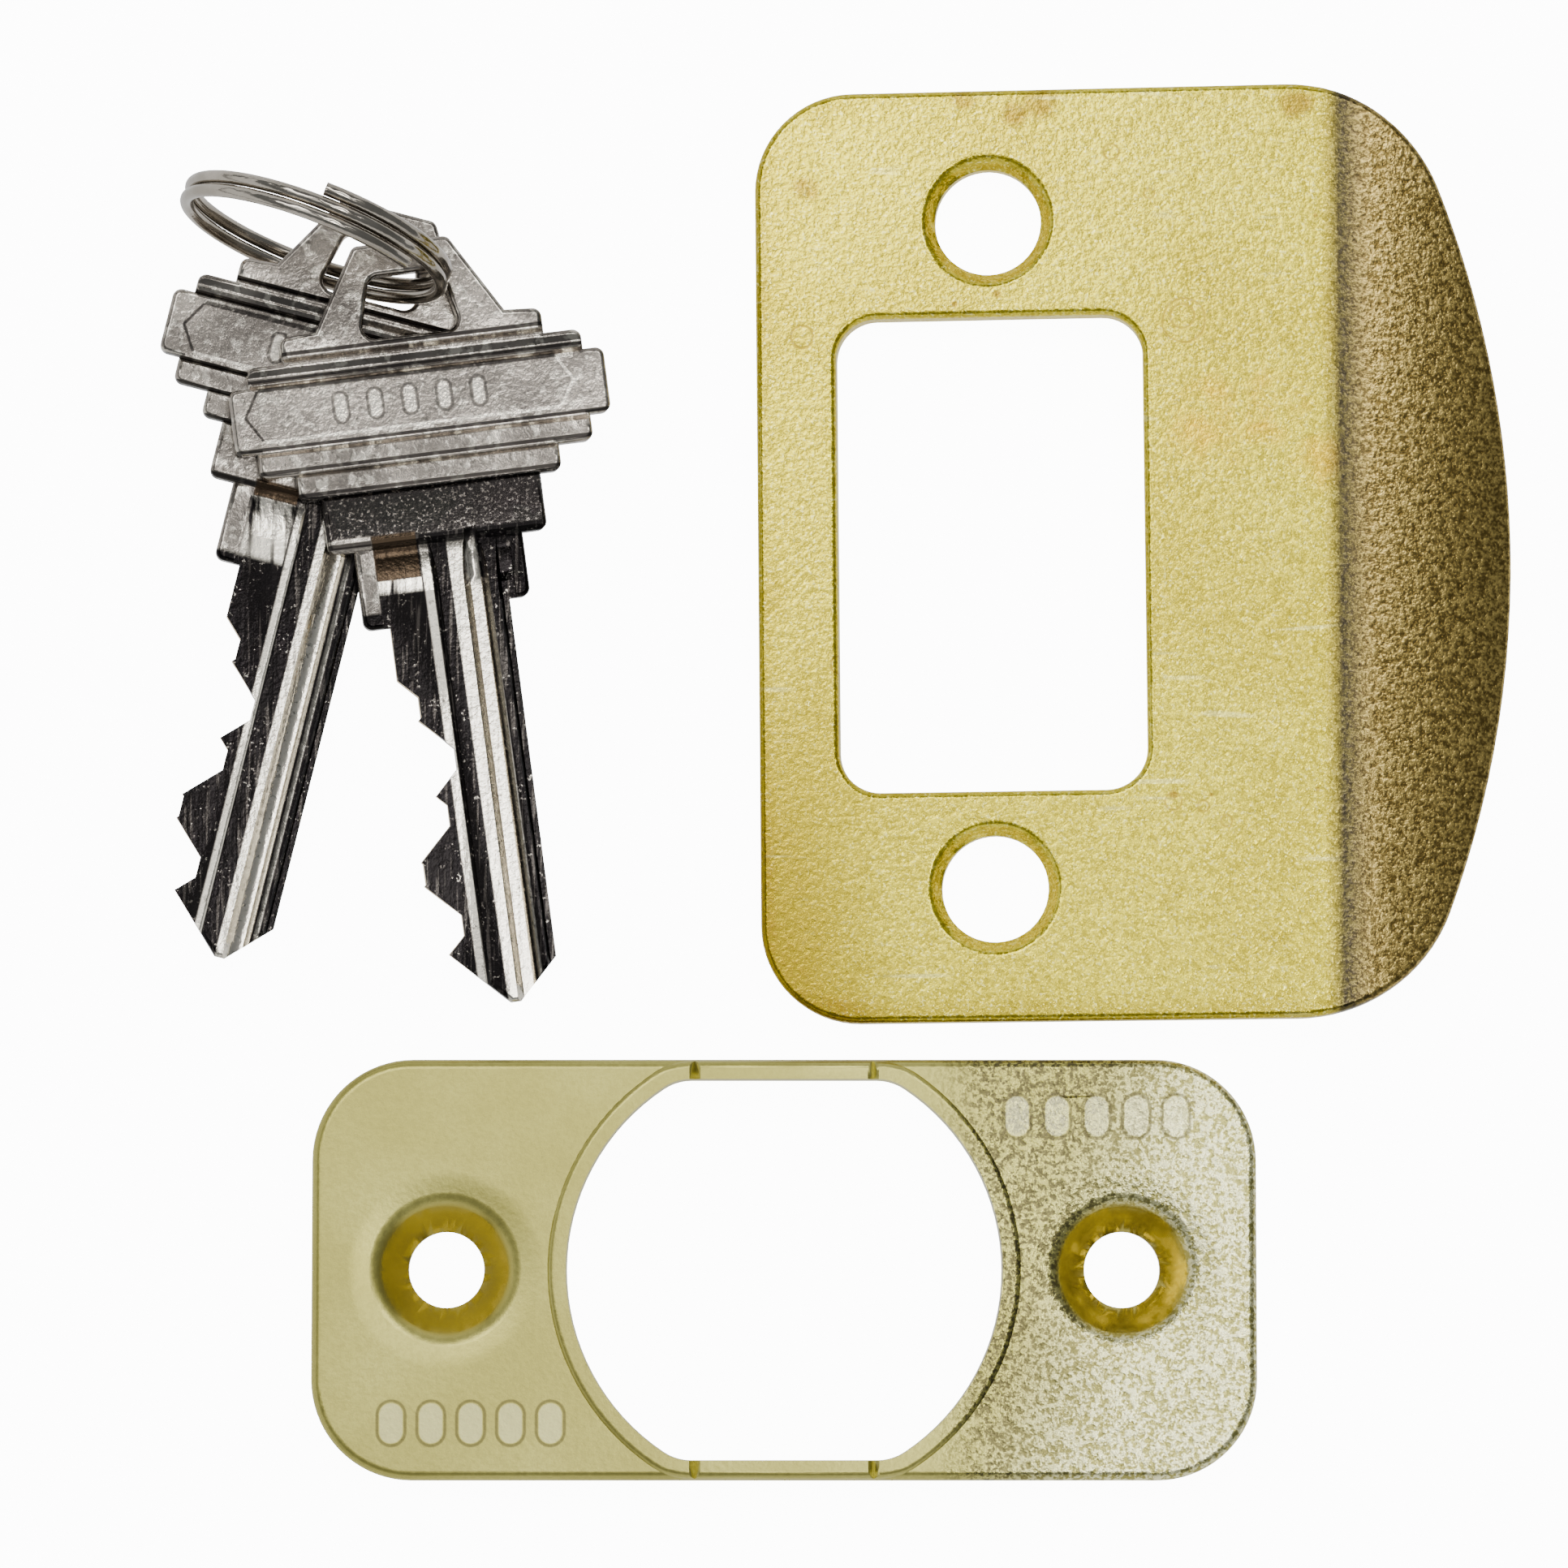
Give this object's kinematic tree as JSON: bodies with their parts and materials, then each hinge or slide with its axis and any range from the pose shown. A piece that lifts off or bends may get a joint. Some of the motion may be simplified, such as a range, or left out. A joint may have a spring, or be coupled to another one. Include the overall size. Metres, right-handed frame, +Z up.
{
  "type": "deadbolt lock set hardware",
  "caption": "Loose deadbolt hardware: a D-shaped full-lip strike plate, a latch face plate with a round bolt opening, and keys on a split ring.",
  "frame": {"origin": "middle of the set's footprint, on the surface it lies on", "axes": "+X to the strike plate's lip, +Y from the face plate towards the strike plate's upper end, +Z up"},
  "size_m": [0.0826, 0.085, 0.0175],
  "materials": {
    "strike_brass": "satin brass, fine speckle",
    "face_brass": "pale satin brass",
    "key_nickel": "nickel plate over brass",
    "ring_nickel": "polished nickel"
  },
  "bodies": {
    "strike": {"strike_plate": "strike_brass"},
    "face": {"face_plate": "face_brass"},
    "ring": {"split_ring": "ring_nickel"},
    "front_key": {"key_front": "key_nickel"},
    "rear_key": {"key_rear": "key_nickel"}
  },
  "joints": [
    {"name": "face_lift", "type": "slide", "parent": "strike", "child": "face", "axis": [0, 0, 1], "range_m": [0, 0.03]},
    {"name": "ring_lift", "type": "slide", "parent": "strike", "child": "ring", "axis": [0, 0, 1], "range_m": [0, 0.03]},
    {"name": "front_key_swing", "type": "hinge", "parent": "ring", "child": "front_key", "pos_m": [-0.02555, 0.02945, 0.00427], "axis": [0.1027, -0.0562, 0.9931], "range_deg": [-22, 0]},
    {"name": "rear_key_swing", "type": "hinge", "parent": "ring", "child": "rear_key", "pos_m": [-0.02744, 0.02987, 0.00241], "axis": [0.1027, -0.0562, 0.9931], "range_deg": [0, 6]}
  ]
}
